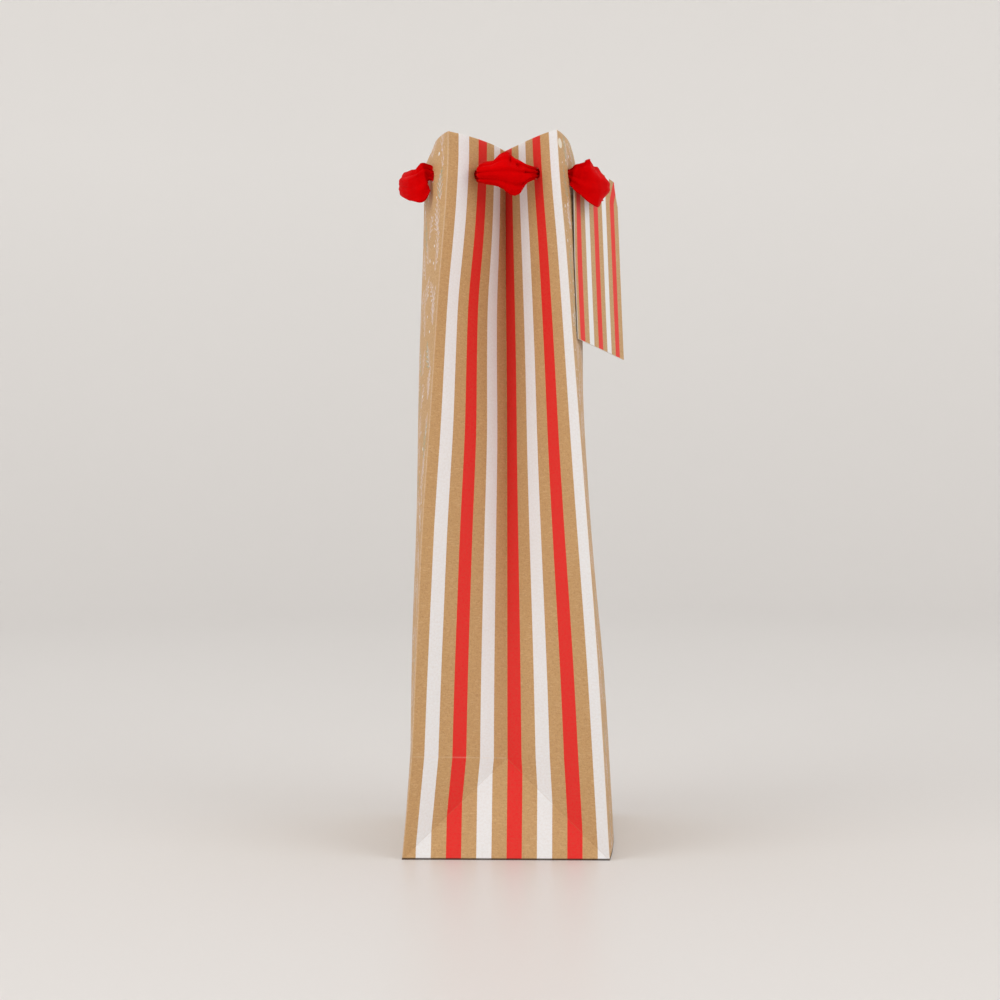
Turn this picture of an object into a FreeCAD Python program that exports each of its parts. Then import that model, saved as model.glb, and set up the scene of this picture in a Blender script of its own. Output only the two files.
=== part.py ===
import FreeCAD, Part
import math
import os
import Sketcher

# A wine gift bag of striped kraft paper.  Millimetres, +Z up, origin at the middle
# of the base on the floor.  The front panel faces -Y and the back panel +Y.  The two
# gussets face -X (left) and +X (right) and fold inwards towards the mouth.

V = FreeCAD.Vector
doc = FreeCAD.newDocument("wine_bag")

# --- driving dimensions -----------------------------------------------------------
SIZES = [
    ("base_width", 127.0),
    ("base_depth", 101.6),
    ("paper", 0.3),
    ("card", 0.6),
    ("board", 1.0),
    ("layer_gap", 0.15),
    ("crease_gap", 0.5),
    ("card_short", 3.0),
    ("gusset_hem_short", 4.5),
    ("hem_depth", 38.0),
    ("seam_width", 15.0),
    ("hole_radius", 3.2),
    ("hole_level", 336.0),
    ("hole_inset", 20.4),
    ("gusset_hole_inset", 17.4),
    ("ribbon_half", 10.0),
    ("ribbon_thick", 0.7),
    ("ribbon_core", 2.0),
    ("back_reach", 18.0),
    ("side_reach", 8.0),
    ("knot_radius", 5.0),
    ("pinch_radius", 2.4),
    ("tag_width", 77.5),
    ("tag_height", 92.0),
    ("tag_thick", 0.5),
    ("tag_hole_radius", 4.2),
    ("tag_hole_drop", 11.0),
    ("tag_clip_width", 14.0),
    ("tag_clip_height", 10.0),
    ("tag_yaw", 17.4),
    ("tag_lean", 4.0),
    ("tag_roll", 5.3),
    ("tag_reach", 11.6),
    ("tag_sag", 4.4),
    ("flap_lap", 14.0),
]
# Five levels up the bag: the floor, the knee crease, two in the wall and the top
# edge.  At each: height, corner depth from the middle plane, bulge of the front and
# back panels, depth of the gusset fold and outward bow of each half gusset.
LEVELS = {
    "level": [0.0, 47.1, 178.0, 300.0, 354.8],
    "corner": [50.8, 47.0, 39.2, 30.2, 26.5],
    "bulge_front": [0.6, 3.4, 2.4, 3.6, 6.0],
    "bulge_back": [0.6, 3.0, 9.5, 14.0, 11.0],
    "fold": [0.0, 19.0, 31.0, 39.3, 41.5],
    "bow": [0.3, 0.6, 2.2, 4.5, 5.2],
}
STEPS = "abcde"

sheet = doc.addObject("Spreadsheet::Sheet", "dims")
row = 0


def put(alias, value):
    global row
    row += 1
    sheet.set(f"A{row}", alias)
    sheet.set(f"B{row}", str(value))
    sheet.setAlias(f"B{row}", alias)


for alias, value in SIZES:
    put(alias, value)
for alias, values in LEVELS.items():
    for step, value in zip(STEPS, values):
        put(f"{alias}_{step}", value)
doc.recompute()


def size(alias):
    return float(sheet.get(alias))


def at(alias, z):
    """A level quantity at any height, straight between the levels."""
    levels = [size(f"level_{s}") for s in STEPS]
    values = [size(f"{alias}_{s}") for s in STEPS]
    for low, high, a, b in zip(levels, levels[1:], values, values[1:]):
        if z <= high:
            return a + (b - a) * (z - low) / (high - low)
    return values[-1]


parts = []


def keep(shape_object, label):
    shape_object.Label = label
    parts.append(shape_object)


# --- curved paper, lofted from thin bowed strips ------------------------------------
def corner_x(side, step):
    """Half width of a bulged panel: its arc keeps the base width."""
    return f"(dims.base_width / 2 - 0.0105 * dims.bulge_{side}_{step} ^ 2)"


def panel_ends(side, inset, short="dims.crease_gap"):
    """Ends of a panel's outer line at each level, and how far it bows."""
    sign = "-" if side == "front" else ""
    ends = []
    for step in STEPS:
        x = f"({corner_x(side, step)} - {short})"
        y = f"({sign}(dims.corner_{step} - {inset}))"
        ends.append((f"(-{x})", y, x, y, f"dims.bulge_{side}_{step}", step))
    return ends


def gusset_ends(hand, side, inset, short="0"):
    """Corner end and crease end of a half gusset's line at each level.  The inset
    moves it square to itself, into the bag; short stops it before the corner."""
    out = "-" if hand == "left" else ""
    sign = "-" if side == "front" else ""
    ends = []
    for step in STEPS[1:]:
        x1 = corner_x(side, step)
        x2 = f"(dims.base_width / 2 - dims.fold_{step})"
        y1 = f"(dims.corner_{step} - dims.crease_gap)"
        span = f"sqrt(({x1} - {x2}) ^ 2 + ({y1} - 0.5) ^ 2)"
        run = f"(({x1} - {x2}) / {span})"
        rise = f"(({y1} - 0.5) / {span})"
        x_corner = f"({out}({x1} - {short} * {run} - {inset} * {rise}))"
        y_corner = f"({sign}({y1} - {short} * {rise} + {inset} * {run}))"
        x_crease = f"({out}({x2} - {inset} * {rise}))"
        y_crease = f"({sign}(0.5 + {inset} * {run}))"
        ends.append((x_corner, y_corner, x_crease, y_crease, f"dims.bow_{step}", step))
    return ends


def value(expression):
    """Evaluates one of the expressions above with the numbers in the sheet."""
    box = doc.addObject("App::FeaturePython", "probe")
    box.addProperty("App::PropertyFloat", "number")
    box.setExpression("number", expression)
    box.recompute()
    number = box.number
    doc.removeObject(box.Name)
    return number


def bowed(a, b, rise):
    """An arc between two points, drawn anticlockwise whichever way it bows."""
    if (b - a).cross(rise).z > 0:
        a, b = b, a
    return Part.Arc(a, (a + b) * 0.5 + rise, b)


def thin_strip(body, name, ends, level, thick, inward):
    """A closed strip: an arc from one end to the other and its copy moved inwards."""
    x1, y1, x2, y2, bow, _ = ends
    chord = f"sqrt(({x2} - {x1}) ^ 2 + ({y2} - {y1}) ^ 2)"
    radius = f"(({chord}) ^ 2 / 4 + {bow} ^ 2) / (2 * {bow})"
    nx = f"({inward} * {thick} * ({y1} - {y2}) / {chord})"
    ny = f"({inward} * {thick} * ({x2} - {x1}) / {chord})"
    spots = [(x1, y1), (x2, y2), (f"{x2} + {nx}", f"{y2} + {ny}")]
    spots.append((f"{x1} + {nx}", f"{y1} + {ny}"))
    p = [V(value(x), value(y), 0) for x, y in spots]
    rise = V(p[0].x - p[3].x, p[0].y - p[3].y, 0).normalize() * value(bow)
    sketch = body.newObject("Sketcher::SketchObject", name)
    plane = next(f for f in body.Origin.OriginFeatures if f.Role == "XY_Plane")
    sketch.AttachmentSupport = [(plane, "")]
    sketch.MapMode = "FlatFace"
    sketch.setExpression(".AttachmentOffset.Base.z", level)
    outer = bowed(p[0], p[1], rise)
    inner = bowed(p[3], p[2], rise)
    sketch.addGeometry([outer, Part.LineSegment(p[1], p[2])], False)
    sketch.addGeometry([inner, Part.LineSegment(p[3], p[0])], False)
    for place in range(4):
        curve = sketch.Geometry[place]
        circle = place in (0, 2)
        for other in range(place + 1, 4):
            mate = sketch.Geometry[other]
            for k, end in ((1, curve.StartPoint), (2, curve.EndPoint)):
                for n, far in ((1, mate.StartPoint), (2, mate.EndPoint)):
                    if end.distanceToPoint(far) < 1e-6:
                        sketch.addConstraint(
                            Sketcher.Constraint("Coincident", place, k, other, n)
                        )
        if circle:
            made = sketch.addConstraint(
                Sketcher.Constraint("Radius", place, value(radius))
            )
            sketch.setExpression(f"Constraints[{made}]", radius)
    for place in (0, 2):
        curve = sketch.Geometry[place]
        for k, end in ((1, curve.StartPoint), (2, curve.EndPoint)):
            near = min(range(4), key=lambda n: p[n].distanceToPoint(end))
            for kind, axis in (("DistanceX", 0), ("DistanceY", 1)):
                made = sketch.addConstraint(
                    Sketcher.Constraint(kind, -1, 1, place, k, end[axis])
                )
                sketch.setExpression(f"Constraints[{made}]", spots[near][axis])
    return sketch


def curved_paper(label, ends, levels, thick, inward, holes=()):
    """A lofted sheet of paper or card through its strips, with its ribbon holes."""
    body = doc.addObject("PartDesign::Body", label + "_body")
    strips = [
        thin_strip(body, f"{label}_{e[5]}", e, z, thick, inward)
        for e, z in zip(ends, levels)
    ]
    doc.recompute()
    loft = body.newObject("PartDesign::AdditiveLoft", label + "_loft")
    loft.Profile = strips[0]
    loft.Sections = strips[1:]
    loft.Ruled = True
    doc.recompute()
    body.Tip = loft
    punched(body, label, holes)


def punched(base, label, holes):
    """Cuts the ribbon holes through a piece, or keeps it whole."""
    if not holes:
        keep(base, label)
        return
    punches = []
    for n, (middle, axis) in enumerate(holes):
        punch = doc.addObject("Part::Cylinder", f"{label}_punch_{n}")
        punch.setExpression("Radius", "dims.hole_radius")
        punch.Height = 12
        turn = FreeCAD.Rotation(V(0, 0, 1), axis)
        punch.Placement = FreeCAD.Placement(middle - axis * 6, turn)
        punches.append(punch)
    tool = punches[0]
    if len(punches) > 1:
        tool = doc.addObject("Part::MultiFuse", label + "_punches")
        tool.Shapes = punches
    cut = doc.addObject("Part::Cut", label + "_cut")
    cut.Base = base
    cut.Tool = tool
    doc.recompute()
    keep(cut, label)


# --- where the ribbon goes through ----------------------------------------------------
hole_z = size("hole_level")
hole_inset = size("hole_inset")


def panel_hole(side, hand):
    """Middle of a hole in a panel's outer face, and the direction out of it."""
    sign = -1 if side == "front" else 1
    bulge = at(f"bulge_{side}", hole_z)
    half = size("base_width") / 2 - 0.0105 * bulge**2
    x = half - hole_inset + 0.6
    y = at("corner", hole_z) + bulge * (1 - (x / half) ** 2)
    slope = 2 * bulge * x / half**2
    mirror = -1 if hand == "left" else 1
    return V(mirror * x, sign * y, hole_z), V(mirror * slope, sign, 0).normalize()


def gusset_hole(side, hand):
    """Middle of a hole in a half gusset's outer face, and the direction out of it."""
    sign = -1 if side == "front" else 1
    mirror = -1 if hand == "left" else 1
    half = size("base_width") / 2 - 0.0105 * at(f"bulge_{side}", hole_z) ** 2
    corner = V(mirror * half, sign * at("corner", hole_z), hole_z)
    crease = V(mirror * (size("base_width") / 2 - at("fold", hole_z)), 0, hole_z)
    share = 2 * size("gusset_hole_inset") / size("base_depth")
    along = (crease - corner).normalize()
    out = V(-along.y, along.x, 0)
    if out.x * mirror < 0:
        out = out * -1
    bow = at("bow", hole_z)
    spot = corner + (crease - corner) * share + out * (4 * bow * share * (1 - share))
    tilt = along * (-4 * bow * (1 - 2 * share) / (crease - corner).Length)
    return spot, (out + tilt).normalize()


SIDES = ("front", "back")
HANDS = ("left", "right")
panel_holes = {(s, h): panel_hole(s, h) for s in SIDES for h in HANDS}
gusset_holes = {(s, h): gusset_hole(s, h) for s in SIDES for h in HANDS}

# --- the four walls, their reinforcing cards and the turned-in hem ---------------------
LEVEL_NAMES = [f"dims.level_{s}" for s in STEPS]
HEM_LEVELS = ["dims.level_e - dims.hem_depth", "dims.level_e - 0.2"]


def hem_ends(ends):
    """Ends at the hem's lower and upper edges, between the two top levels."""
    low, high = ends[-2], ends[-1]
    share = "(1 - dims.hem_depth / (dims.level_e - dims.level_d))"
    mixed = [f"({a} + ({b} - {a}) * {share})" for a, b in zip(low[:5], high[:5])]
    return [(*mixed, "d"), high]


for side in SIDES:
    inward = 1 if side == "front" else -1
    holes = [panel_holes[side, h] for h in HANDS]
    curved_paper(
        f"{side}_panel", panel_ends(side, "0"), LEVEL_NAMES, "dims.paper", inward, holes
    )
    card_in = "(dims.paper + dims.layer_gap)"
    card = hem_ends(panel_ends(side, card_in, "dims.card_short"))
    curved_paper(f"{side}_top_card", card, HEM_LEVELS, "dims.card", inward, holes)
    hem_in = "(dims.paper + dims.card + 2 * dims.layer_gap)"
    hem = hem_ends(panel_ends(side, hem_in, "dims.card_short"))
    curved_paper(f"{side}_hem", hem, HEM_LEVELS, "dims.paper", inward, holes)

for hand in HANDS:
    for side in SIDES:
        inward = -1 if (hand == "left") == (side == "front") else 1
        holes = [gusset_holes[side, hand]]
        ends = gusset_ends(hand, side, "0")
        label = f"{hand}_gusset_{side}_half"
        curved_paper(label, ends, LEVEL_NAMES[1:], "dims.paper", inward, holes)
        lining = "(dims.paper + 2 * dims.layer_gap)"
        hem = hem_ends(gusset_ends(hand, side, lining, "dims.gusset_hem_short"))
        label = f"{hand}_{side}_hem"
        curved_paper(label, hem, HEM_LEVELS, "dims.paper", inward, holes)


# --- flat pieces, padded from their outlines ------------------------------------------
def outline_pad(label, points, thick, placement, bore=None):
    """A flat sheet: a closed outline of bound corners, padded to its thickness."""
    body = doc.addObject("PartDesign::Body", label + "_body")
    body.Placement = placement
    sketch = body.newObject("Sketcher::SketchObject", label + "_outline")
    plane = next(f for f in body.Origin.OriginFeatures if f.Role == "XY_Plane")
    sketch.AttachmentSupport = [(plane, "")]
    sketch.MapMode = "FlatFace"
    spots = [V(value(x), value(y), 0) for x, y in points]
    count = len(spots)
    for n in range(count):
        line = Part.LineSegment(spots[n], spots[(n + 1) % count])
        sketch.addGeometry(line, False)
    for n in range(count):
        after = (n + 1) % count
        sketch.addConstraint(Sketcher.Constraint("Coincident", n, 2, after, 1))
        for kind, axis in (("DistanceX", 0), ("DistanceY", 1)):
            made = sketch.addConstraint(
                Sketcher.Constraint(kind, -1, 1, n, 1, spots[n][axis])
            )
            sketch.setExpression(f"Constraints[{made}]", points[n][axis])
    if bore:
        circle = Part.Circle(V(0, 0, 0), V(0, 0, 1), value(bore))
        ring = sketch.addGeometry(circle, False)
        sketch.addConstraint(Sketcher.Constraint("Coincident", ring, 3, -1, 1))
        made = sketch.addConstraint(Sketcher.Constraint("Radius", ring, value(bore)))
        sketch.setExpression(f"Constraints[{made}]", bore)
    doc.recompute()
    pad = body.newObject("PartDesign::Pad", label + "_pad")
    pad.Profile = sketch
    pad.setExpression("Length", thick)
    doc.recompute()
    body.Tip = pad
    keep(body, label)


def rectangle(x1, y1, x2, y2):
    return [(x1, y1), (x2, y1), (x2, y2), (x1, y2)]


def lifted(z):
    return FreeCAD.Placement(V(0, 0, z), FreeCAD.Rotation())


HALF_W = "(dims.base_width / 2 - 1.1)"
HALF_D = "(dims.base_depth / 2 - 0.9)"
LAP = "dims.flap_lap"
layer = size("paper") + size("layer_gap")
outline_pad(
    "bottom_back_flap",
    rectangle(f"-{HALF_W}", f"-{LAP}", HALF_W, HALF_D),
    "dims.paper",
    lifted(0.0),
)
outline_pad(
    "bottom_front_flap",
    rectangle(f"-{HALF_W}", f"-{HALF_D}", HALF_W, LAP),
    "dims.paper",
    lifted(layer),
)
for hand in HANDS:
    near, far = (f"-{HALF_W}", f"-{LAP}") if hand == "left" else (LAP, HALF_W)
    outline_pad(
        f"bottom_{hand}_flap",
        rectangle(near, f"-{HALF_D}", far, HALF_D),
        "dims.paper",
        lifted(2 * layer),
    )
BOARD_W = "(dims.base_width / 2 - 3)"
BOARD_D = "(dims.base_depth / 2 - 2.5)"
outline_pad(
    "base_board",
    rectangle(f"-{BOARD_W}", f"-{BOARD_D}", BOARD_W, BOARD_D),
    "dims.board",
    lifted(3 * layer + 0.1),
)


def triangle_pad(label, a, b, c, inner):
    """A flat triangle of paper through three points, pulled in from its creases."""
    middle = (a + b + c) * (1 / 3)
    a, b, c = [p + (middle - p).normalize() * 1.3 for p in (a, b, c)]
    along = (b - a).normalize()
    normal = along.cross(c - a).normalize()
    if normal.dot(inner) < 0:
        normal = normal * -1
    across = normal.cross(along)
    turn = FreeCAD.Rotation(along, across, normal, "XYZ")
    points = [("0", "0"), (f"{(b - a).Length}", "0")]
    points.append((f"{(c - a).dot(along)}", f"{(c - a).dot(across)}"))
    outline_pad(label, points, "dims.paper", FreeCAD.Placement(a, turn))


knee = size("level_b") - 0.3
for hand in HANDS:
    mirror = -1 if hand == "left" else 1
    inner = V(-mirror, 0, 0)
    apex = V(mirror * (size("base_width") / 2 - size("fold_b")), 0, knee)
    base_x = mirror * size("base_width") / 2
    base_y = size("base_depth") / 2
    foot = [V(base_x, -base_y, 0), V(base_x, base_y, 0)]
    triangle_pad(f"{hand}_gusset_foot", foot[0], foot[1], apex, inner)
    for side, corner in zip(SIDES, foot):
        top = V(base_x, math.copysign(size("corner_b"), corner.y), knee)
        triangle_pad(f"{hand}_{side}_wing", corner, apex, top, inner)

# The glued seam: a strip inside the back panel beside the right corner.
seam_in = "(dims.paper + dims.layer_gap)"
seam_ends = []
for x1, y1, x2, y2, bow, step in panel_ends("back", seam_in, "1.5"):
    x_in = f"({x2} - dims.seam_width)"
    rise = f"({bow} * (1 - ({x_in} / {x2}) ^ 2))"
    seam_ends.append((x_in, f"({y1} + {rise})", x2, y2, f"({bow} * 0.02 + 0.02)", step))
seam_top = hem_ends(seam_ends)[0]
seam_levels = ["dims.level_a + 1.5", *LEVEL_NAMES[1:4], "dims.level_e - 40"]
curved_paper(
    "side_seam_flap",
    [*seam_ends[:4], seam_top],
    seam_levels,
    "dims.paper",
    -1,
)


# --- the ribbon ------------------------------------------------------------------------
def strap(label, path, halves, thicks):
    """A soft ribbon: ellipses square to its path, tall in the spread and round where
    it is gathered."""
    rings = []
    for n, spot in enumerate(path):
        before = path[max(n - 1, 0)]
        after = path[min(n + 1, len(path) - 1)]
        along = (after - before).normalize()
        side = V(0, 0, 1).cross(along).normalize()
        tall = along.cross(side)
        ring = doc.addObject("Part::Ellipse", f"{label}_ring_{n}")
        ring.MajorRadius = halves[n]
        ring.MinorRadius = thicks[n]
        turn = FreeCAD.Rotation(tall, side, along, "XYZ")
        ring.Placement = FreeCAD.Placement(spot, turn)
        rings.append(ring)
    loft = doc.addObject("Part::Loft", label + "_loft")
    loft.Sections = rings
    loft.Solid = True
    loft.Ruled = False
    doc.recompute()
    keep(loft, label)


half = size("ribbon_half")
thin = size("ribbon_thick")
core = size("ribbon_core")


def widths(count):
    """Half heights and half thicknesses of a loop gathered at both of its ends."""
    tall, flat = [], []
    for n in range(count):
        share = math.sin(math.pi * n / (count - 1))
        tall.append(1.3 + (half - 1.3) * share**0.8)
        flat.append(1.2 + (thin - 1.2) * share)
    return tall, flat


def arch(start, end, reach, count=13):
    """A half ellipse from one gathered end to the other, bulging by reach."""
    middle = (start + end) * 0.5
    spots = []
    for n in range(count):
        turn = math.pi * n / (count - 1)
        spots.append(middle + (start - middle) * math.cos(turn) + reach * math.sin(turn))
    return spots


HINGE_OFF = 3.0  # the loops turn this far outside the paper
back_left = panel_holes["back", "left"][0] + V(0, HINGE_OFF, 0)
back_right = panel_holes["back", "right"][0] + V(0, HINGE_OFF, 0)
tall, flat = widths(13)
strap(
    "back_ribbon",
    arch(back_left, back_right, V(0, size("back_reach"), 0)),
    tall,
    flat,
)
for hand in HANDS:
    mirror = -1 if hand == "left" else 1
    ends = [gusset_holes[s, hand][0] + gusset_holes[s, hand][1] * 2.4 for s in SIDES]
    strap(
        f"{hand}_ribbon",
        arch(ends[0], ends[1], V(mirror * size("side_reach"), 0, 0)),
        tall,
        flat,
    )

# The tag hangs from the sagging middle of the front ribbon, turned out at its far side.
front_left = panel_holes["front", "left"][0] + V(0, -HINGE_OFF, 0)
front_right = panel_holes["front", "right"][0] + V(0, -HINGE_OFF, 0)
pinch = V(-4.0, front_left.y - size("tag_reach"), hole_z - size("tag_sag"))
yaw = math.radians(size("tag_yaw"))
lean = math.radians(size("tag_lean"))
roll = math.radians(size("tag_roll"))
level_along = V(math.cos(yaw), -math.sin(yaw), 0)
tag_out = V(-math.sin(yaw), -math.cos(yaw), 0)
plumb = V(0, 0, 1) * math.cos(lean) - tag_out * math.sin(lean)
tag_along = level_along * math.cos(roll) - plumb * math.sin(roll)
tag_up = plumb * math.cos(roll) + level_along * math.sin(roll)
tag_face = tag_along.cross(tag_up).normalize()

near_path = [
    front_left,
    front_left + V(-0.2, -3.0, -0.2),
    front_left + V(0.6, -6.5, -0.9),
    front_left + V(3.2, -10.2, -2.2),
    front_left + V(8.0, -13.8, -3.5),
    front_left + V(14.5, -16.4, -4.4),
    front_left + V(21.5, -17.9, -4.8),
    front_left + V(28.5, -18.2, -4.8),
    pinch + V(-4.4, -4.6, 0),
    pinch + V(-1.3, -3.6, 0),
]
near_tall = [1.2, 2.2, 3.6, 6.2, 8.6, 9.8, 9.6, 8.0, 3.4, 1.3]
near_flat = [1.1, 1.0, 0.9, 0.8, 0.8, 0.8, 0.8, 0.8, 1.0, 1.1]
strap("front_ribbon_near", near_path, near_tall, near_flat)
far_path = [
    pinch + V(1.3, 3.6, 0),
    pinch + V(4.6, 4.3, 0.1),
    pinch + V(11.0, 3.6, 0.5),
    pinch + V(18.0, 2.9, 1.1),
    pinch + V(26.0, 3.0, 1.9),
    pinch + V(34.0, 4.4, 2.8),
    pinch + V(40.5, 7.3, 3.6),
    front_right + V(1.6, -2.6, -0.2),
    front_right,
]
far_tall = [1.3, 3.2, 7.2, 9.6, 9.8, 8.4, 5.6, 2.6, 1.2]
far_flat = [1.1, 1.0, 0.8, 0.8, 0.8, 0.8, 0.9, 1.0, 1.1]
strap("front_ribbon_far", far_path, far_tall, far_flat)

ball = doc.addObject("Part::Sphere", "tag_pinch_ball")
ball.setExpression("Radius", "dims.pinch_radius")
ball.Placement.Base = pinch
doc.recompute()
keep(ball, "tag_pinch")

TAG_HALF = "dims.tag_width / 2"
TAG_TOP = "dims.tag_hole_drop"
TAG_LOW = "(dims.tag_hole_drop - dims.tag_height)"
CLIP_W = "dims.tag_clip_width"
CLIP_H = "dims.tag_clip_height"
tag_points = [
    (f"-{TAG_HALF}", TAG_LOW),
    (TAG_HALF, TAG_LOW),
    (TAG_HALF, f"{TAG_TOP} - {CLIP_H}"),
    (f"{TAG_HALF} - {CLIP_W}", TAG_TOP),
    (f"-{TAG_HALF} + {CLIP_W}", TAG_TOP),
    (f"-{TAG_HALF}", f"{TAG_TOP} - {CLIP_H}"),
]
tag_turn = FreeCAD.Rotation(tag_along, tag_up, tag_face, "XYZ")
tag_place = FreeCAD.Placement(pinch - tag_face * size("tag_thick") / 2, tag_turn)
outline_pad(
    "gift_tag", tag_points, "dims.tag_thick", tag_place, "dims.tag_hole_radius"
)

# Inside the bag the gathered ribbon rounds each corner from hole to hole.
for hand in HANDS:
    for side in SIDES:
        start, out = panel_holes[side, hand]
        end, away = gusset_holes[side, hand]
        ends = [start + out * 0.9, start - out * 5, end - away * 5, end + away * 0.6]
        curve = Part.BezierCurve()
        curve.setPoles(ends)
        count = 9
        path = [curve.value(n / (count - 1)) for n in range(count)]
        tall = [core] * count
        if (side, hand) == ("back", "right"):
            swell = size("knot_radius")
            tall = [core + (swell - core) * (1 - abs(n - 4) / 4) ** 2 for n in range(9)]
        strap(f"inner_ribbon_{side}_{hand}", path, tall, [core] * count)

# --- check every piece and write it out --------------------------------------------------
doc.recompute()
for thing in doc.Objects:
    if "Invalid" in thing.State or "Error" in thing.State:
        raise RuntimeError(f"{thing.Name} failed: {thing.State}")
os.makedirs("parts", exist_ok=True)
for part in parts:
    shape = part.Shape
    if shape.isNull() or not shape.isValid() or len(shape.Solids) != 1:
        raise RuntimeError(f"{part.Label}: null, invalid or not one solid")
    shape.exportStep(os.path.join("parts", part.Label + ".step"))
    box = shape.BoundBox
    print(
        f"{part.Label:26s} {shape.Volume:9.1f} mm3 "
        f"x {box.XMin:7.1f} {box.XMax:7.1f} y {box.YMin:7.1f} {box.YMax:7.1f} "
        f"z {box.ZMin:7.1f} {box.ZMax:7.1f}"
    )
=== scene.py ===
import math

import bpy
import numpy as np
from mathutils import Matrix, Vector


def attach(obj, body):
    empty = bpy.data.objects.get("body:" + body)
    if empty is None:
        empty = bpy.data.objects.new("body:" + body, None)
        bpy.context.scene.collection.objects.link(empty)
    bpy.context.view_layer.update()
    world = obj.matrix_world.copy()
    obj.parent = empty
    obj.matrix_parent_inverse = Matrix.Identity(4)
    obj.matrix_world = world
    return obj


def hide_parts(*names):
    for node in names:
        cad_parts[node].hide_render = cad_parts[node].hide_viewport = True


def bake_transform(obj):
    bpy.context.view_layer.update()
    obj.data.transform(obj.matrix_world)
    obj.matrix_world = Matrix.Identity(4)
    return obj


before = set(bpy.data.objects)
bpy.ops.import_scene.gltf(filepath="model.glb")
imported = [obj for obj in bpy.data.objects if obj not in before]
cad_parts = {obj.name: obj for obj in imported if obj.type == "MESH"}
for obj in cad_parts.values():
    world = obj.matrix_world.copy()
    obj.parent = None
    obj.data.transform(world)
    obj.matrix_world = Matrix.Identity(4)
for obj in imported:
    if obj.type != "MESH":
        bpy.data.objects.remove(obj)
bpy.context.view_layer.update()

# A wine gift bag: kraft paper with striped gussets, a small print on the front and
# back, satin ribbon loops round the mouth and a striped card tag.  Lengths in the
# shape code are millimetres; MM turns them into the frame's metres.
MM = 0.001

# --- the sheet of paper ---------------------------------------------------------------
# Paper coordinates: s runs round the bag and v up it.  Every wall is a grid of
# half-gusset / N squares, so the fold lines of the foot pass through its corners.
N = 24
GUSSET = 101.6
FRONT = 127.0
HALF = GUSSET / 2
UP = np.array([0.0, 0.0, 1.0])
STEP = HALF / N
HEIGHT = 355.6
PAPER = 0.3
HEM = 38.0
HEM_GAP = 0.85
CARD_GAP = 1.45
CORNER_TOP = 354.8
KNEE_Z = 50.5
APEX_X = 44.5
APEX_Z = 47.1
CREASE_TOP = 351.05
HOLE_V = 336.9
HOLE_R = 3.0
KNEE_Y = {"back": 45.8, "front": 48.1}  # how far the corners stand out at the knee
DRAW_IN = 0.0105  # a bowed panel's corners come in by this times its bulge squared
# How a half gusset's turn grows from its corner: a power, and a length in mm.
BACK_TURN, FRONT_TURN = 0.85, 9.0
CREASE_DRIFT = 0.45  # how far the gusset's fold drifts to the back towards its top
APEX_REACH = 45.0  # how far above its foot the foot still holds a gusset's fold
FOLD_V = 1.6  # paper taken up by the fold over the top edge
FOLD_RISE = 0.9  # the fold's height as a share of its half depth
FOLD_ROWS = 7
HEM_SETTLE = 0.35  # the share of its gap that the hem's free edge closes
MITRE_MIN, RIDGE_MAX = 0.25, 1.5  # limits on the paper's thickness round a corner
WAVES, WAVE_HEIGHT = 9, 0.075
LINING_STEP = 2.1
STRIPE = 7.42  # kraft, white, kraft and red, all the same width
RIBBON, RIBBON_T = 22.0, 0.28


def smooth(x):
    x = np.clip(x, 0.0, 1.0)
    return x * x * (3 - 2 * x)


def hermite(a, b, p, q, t):
    """From a to b as t goes from 0 to 1, leaving with slope p and arriving with q."""
    return (
        a * (1 + 2 * t) * (1 - t) ** 2
        + p * t * (1 - t) ** 2
        + b * t * t * (3 - 2 * t)
        - q * t * t * (1 - t)
    )


def curve(knots):
    """A function through (place, value) knots, without corners at the knots."""
    at = np.array([k[0] for k in knots], float)
    val = np.array([k[1] for k in knots], float)
    slope = np.gradient(val, at)

    def run(x):
        x = np.clip(np.asarray(x, float), at[0], at[-1])
        n = np.clip(np.searchsorted(at, x, side="right") - 1, 0, len(at) - 2)
        span = at[n + 1] - at[n]
        t = (x - at[n]) / span
        return hermite(val[n], val[n + 1], slope[n] * span, slope[n + 1] * span, t)

    return run


# How far each corner stands from the middle plane above the knee, and how far each
# panel's middle stands out from its corners.
UPPER = {
    "back": curve([(KNEE_Z, KNEE_Y["back"]), (108, 43.0), (167, 39.8), (217, 36.0),
                   (284, 31.1), (321, 27.9), (346, 26.5), (355, 26.4)]),
    "front": curve([(KNEE_Z, KNEE_Y["front"]), (88, 45.9), (176, 39.6), (253, 33.9),
                    (297, 30.8), (338, 27.4), (355, 26.5)]),
}
BULGE = {
    "back": curve([(0, 0.4), (47, 3.5), (93, 5.6), (166, 7.6), (218, 10.2), (288, 13.3),
                   (322, 15.3), (338, 15.9), (346, 15.4), (351, 12.8), (356, 10.4)]),
    "front": curve([(0, 2.7), (20, 2.9), (81, 2.7), (174, 1.6), (226, 2.8), (256, 4.8),
                    (300, 6.7), (322, 7.8), (338, 8.4), (347, 8.2), (351, 7.5),
                    (356, 6.2)]),
}
# A half gusset turns away from its corner by an angle that grows along it.  This is
# the angle at the corner as a share of the angle at the fold.
OPENING = {
    "back": curve([(50, 1.0), (80, 0.95), (150, 0.68), (200, 0.66), (250, 0.84),
                   (272, 0.84), (300, 0.64), (356, 0.55)]),
    "front": curve([(50, 1.0), (80, 0.9), (150, 0.6), (200, 0.58), (250, 0.74),
                    (300, 0.76), (356, 0.62)]),
}


def corner_y(side, z):
    """How far a corner stands from the middle plane."""
    foot = HALF + (KNEE_Y[side] - HALF) * z / KNEE_Z
    return np.where(z < KNEE_Z, foot, UPPER[side](z))


def corner_half(side, z):
    """Half the width between the corners of a bulged panel."""
    return FRONT / 2 - DRAW_IN * BULGE[side](z) ** 2


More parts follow.
